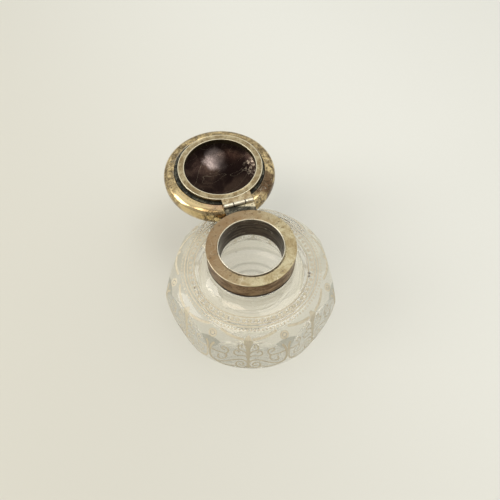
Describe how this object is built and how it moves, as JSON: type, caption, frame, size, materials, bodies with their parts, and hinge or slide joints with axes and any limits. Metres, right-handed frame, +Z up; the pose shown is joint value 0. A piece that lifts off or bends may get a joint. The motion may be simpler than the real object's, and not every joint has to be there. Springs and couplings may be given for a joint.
{
  "type": "desk inkstand",
  "caption": "Squat seven-sided cut-glass inkwell with a silver collar and a hollow bun-shaped lid that hinges open behind it.",
  "frame": {"origin": "centre of the flat base", "axes": "+Z up out of the mouth, +Y towards the hinge and the open lid, +X to the right along the hinge pin"},
  "size_m": [0.0993, 0.1444, 0.0637],
  "materials": {
    "cut_glass": "polished, with matt engraving",
    "plaster": "matt",
    "collar_silver": "worn satin with a warm tarnish",
    "dark_silver": "heavily tarnished",
    "bright_silver": "rubbed bright",
    "lid_silver": "polished, with a mottled brown tarnish"
  },
  "bodies": {
    "base": {"glass_body": "cut_glass", "cement_bed": "plaster", "collar_band": "collar_silver", "collar_flange": "collar_silver", "collar_sleeve": "dark_silver", "hinge_leaf_lower": "dark_silver", "hinge_knuckle_left": "bright_silver", "hinge_knuckle_right": "bright_silver", "hinge_pin": "bright_silver"},
    "lid": {"hinge_leaf_upper": "bright_silver", "hinge_knuckle_middle": "bright_silver", "lid_dome": "lid_silver", "lid_base_ring": "dark_silver", "lid_bezel": "bright_silver"}
  },
  "joints": [
    {"name": "lid_hinge", "type": "hinge", "parent": "base", "child": "lid", "pos_m": [0.0022, 0.03, 0.0625], "axis": [1, 0, 0], "range_deg": [0, 180]}
  ]
}
